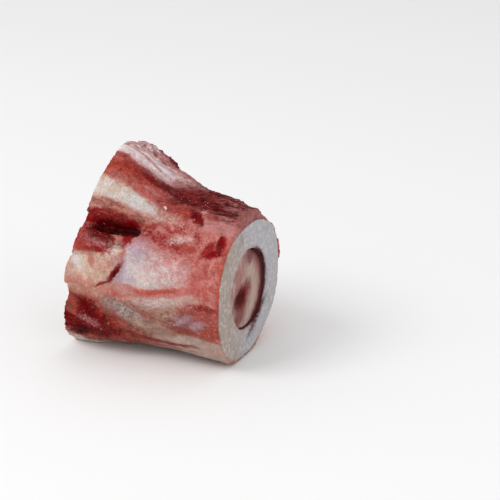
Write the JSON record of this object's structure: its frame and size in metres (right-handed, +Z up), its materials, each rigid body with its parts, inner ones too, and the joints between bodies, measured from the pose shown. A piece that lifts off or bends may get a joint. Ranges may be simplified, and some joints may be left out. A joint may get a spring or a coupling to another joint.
{
  "type": "frozen beef marrow bone",
  "caption": "Short sawn length of beef leg bone lying on its side, with marrow, wrapping tissue and scraps of lean, sinew and fat.",
  "frame": {"origin": "middle of the underside, on the surface that the bone lies on, halfway between the two saw cuts", "axes": "+X out of the sawn face with the narrow end, along the bone; -Y the side shown; +Z up"},
  "size_m": [0.0614, 0.0622, 0.0707],
  "materials": {
    "bone": "sawn bone, fine pores, dull",
    "marrow": "waxy marrow fat, satin",
    "membrane": "moist membrane over bone, satin",
    "lean": "frozen lean meat, fibrous, satin",
    "sinew": "pearly sinew, satin",
    "fat": "firm fat, waxy"
  },
  "bodies": {
    "root": {"bone_wall": "bone", "marrow": "marrow", "wrapping_tissue": "membrane", "lower_tissue_strip": "membrane", "muscle_strip": "lean", "torn_flap": "lean", "lean_band": "lean", "pocket_lip": "lean", "pocket_flesh": "lean", "corner_meat": "lean", "back_lean_strip": "lean", "sinew_band": "sinew", "upper_fat_strip": "fat", "lower_fat_pad": "fat", "back_fat_strip": "fat"}
  },
  "joints": []
}
